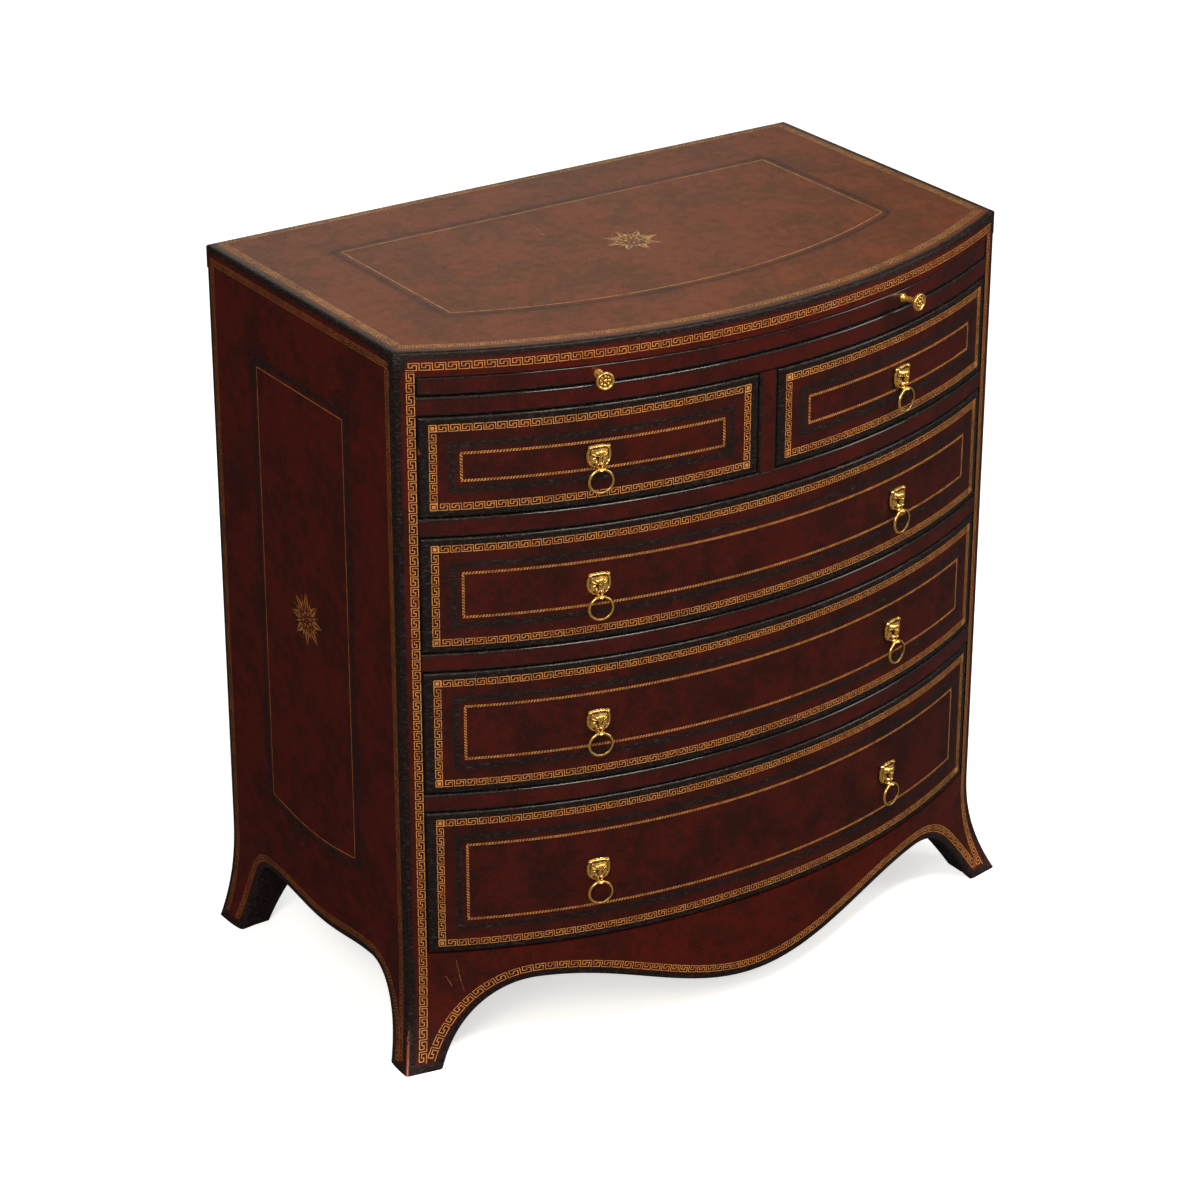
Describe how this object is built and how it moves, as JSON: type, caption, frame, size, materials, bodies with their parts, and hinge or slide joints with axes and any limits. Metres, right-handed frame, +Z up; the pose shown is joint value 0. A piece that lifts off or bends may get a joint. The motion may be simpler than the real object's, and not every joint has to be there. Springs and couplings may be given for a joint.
{
  "type": "bow front bachelor's chest",
  "caption": "Leather covered bow front bachelor's chest with brushing slide, graduated drawers, ring pulls in lion masks, serpentine apron and splayed bracket feet.",
  "frame": {"origin": "on the floor, at the middle of the chest's bounding box", "axes": "+X to the viewer's right when facing the front, +Y to the back, +Z up; the bowed front faces -Y"},
  "size_m": [0.836, 0.506, 0.838],
  "materials": {
    "top_leather": "waxed, gold tooled",
    "case_leather": "waxed, gold tooled",
    "rail_leather": "waxed",
    "drawer_leather": "waxed, gold tooled",
    "slide_leather": "waxed, gold tooled",
    "inner_wood": "planed, unfinished",
    "back_wood": "stained dark",
    "brass": "cast, lacquered and worn",
    "steel": "dulled"
  },
  "bodies": {
    "case": {"top_board": "top_leather", "back_panel": "back_wood", "back_nails": "steel", "side_right": "case_leather", "side_left": "case_leather", "stile_right": "case_leather", "stile_left": "case_leather", "rail_low": "rail_leather", "rail_middle": "rail_leather", "rail_under_short_drawers": "rail_leather", "rail_under_slide": "rail_leather", "short_drawer_divider": "rail_leather", "dust_boards": "inner_wood", "bottom_board": "inner_wood", "drawer_guides": "inner_wood", "drawer_stops": "inner_wood", "front_apron": "case_leather", "side_apron_right": "case_leather", "side_apron_left": "case_leather", "back_apron": "back_wood", "front_foot_right": "case_leather", "front_foot_left": "case_leather", "rear_foot_right": "case_leather", "rear_foot_left": "case_leather"},
    "short_left": {"short_left_front": "drawer_leather", "short_left_sides": "inner_wood", "short_left_back": "inner_wood", "short_left_bottom": "inner_wood", "short_left_masks": "brass"},
    "short_left_ring": {"short_left_ring": "brass"},
    "short_right": {"short_right_front": "drawer_leather", "short_right_sides": "inner_wood", "short_right_back": "inner_wood", "short_right_bottom": "inner_wood", "short_right_masks": "brass"},
    "short_right_ring": {"short_right_ring": "brass"},
    "long_low": {"long_low_front": "drawer_leather", "long_low_sides": "inner_wood", "long_low_back": "inner_wood", "long_low_bottom": "inner_wood", "long_low_masks": "brass"},
    "long_low_ring_left": {"long_low_ring_left": "brass"},
    "long_low_ring_right": {"long_low_ring_right": "brass"},
    "long_middle": {"long_middle_front": "drawer_leather", "long_middle_sides": "inner_wood", "long_middle_back": "inner_wood", "long_middle_bottom": "inner_wood", "long_middle_masks": "brass"},
    "long_middle_ring_left": {"long_middle_ring_left": "brass"},
    "long_middle_ring_right": {"long_middle_ring_right": "brass"},
    "long_high": {"long_high_front": "drawer_leather", "long_high_sides": "inner_wood", "long_high_back": "inner_wood", "long_high_bottom": "inner_wood", "long_high_masks": "brass"},
    "long_high_ring_left": {"long_high_ring_left": "brass"},
    "long_high_ring_right": {"long_high_ring_right": "brass"},
    "slide": {"slide_board": "slide_leather", "slide_lipping": "rail_leather", "slide_knobs": "brass"}
  },
  "joints": [
    {"name": "short_left_drawer", "type": "slide", "parent": "case", "child": "short_left", "axis": [0, -1, 0], "range_m": [0, 0.28]},
    {"name": "short_left_ring_swing", "type": "hinge", "parent": "short_left", "child": "short_left_ring", "pos_m": [-0.20186, -0.23519, 0.6961], "axis": [-0.9653, 0.2611, 0], "range_deg": [-12, 85]},
    {"name": "short_right_drawer", "type": "slide", "parent": "case", "child": "short_right", "axis": [0, -1, 0], "range_m": [0, 0.28]},
    {"name": "short_right_ring_swing", "type": "hinge", "parent": "short_right", "child": "short_right_ring", "pos_m": [0.20186, -0.23519, 0.6961], "axis": [-0.9653, -0.2611, 0], "range_deg": [-12, 85]},
    {"name": "long_low_drawer", "type": "slide", "parent": "case", "child": "long_low", "axis": [0, -1, 0], "range_m": [0, 0.28]},
    {"name": "long_low_ring_left_swing", "type": "hinge", "parent": "long_low", "child": "long_low_ring_left", "pos_m": [-0.20186, -0.23519, 0.2063], "axis": [-0.9653, 0.2611, 0], "range_deg": [-12, 85]},
    {"name": "long_low_ring_right_swing", "type": "hinge", "parent": "long_low", "child": "long_low_ring_right", "pos_m": [0.20186, -0.23519, 0.2063], "axis": [-0.9653, -0.2611, 0], "range_deg": [-12, 85]},
    {"name": "long_middle_drawer", "type": "slide", "parent": "case", "child": "long_middle", "axis": [0, -1, 0], "range_m": [0, 0.28]},
    {"name": "long_middle_ring_left_swing", "type": "hinge", "parent": "long_middle", "child": "long_middle_ring_left", "pos_m": [-0.20186, -0.23519, 0.38855], "axis": [-0.9653, 0.2611, 0], "range_deg": [-12, 85]},
    {"name": "long_middle_ring_right_swing", "type": "hinge", "parent": "long_middle", "child": "long_middle_ring_right", "pos_m": [0.20186, -0.23519, 0.38855], "axis": [-0.9653, -0.2611, 0], "range_deg": [-12, 85]},
    {"name": "long_high_drawer", "type": "slide", "parent": "case", "child": "long_high", "axis": [0, -1, 0], "range_m": [0, 0.28]},
    {"name": "long_high_ring_left_swing", "type": "hinge", "parent": "long_high", "child": "long_high_ring_left", "pos_m": [-0.20186, -0.23519, 0.5502], "axis": [-0.9653, 0.2611, 0], "range_deg": [-12, 85]},
    {"name": "long_high_ring_right_swing", "type": "hinge", "parent": "long_high", "child": "long_high_ring_right", "pos_m": [0.20186, -0.23519, 0.5502], "axis": [-0.9653, -0.2611, 0], "range_deg": [-12, 85]},
    {"name": "brushing_slide", "type": "slide", "parent": "case", "child": "slide", "axis": [0, -1, 0], "range_m": [0, 0.25]}
  ]
}
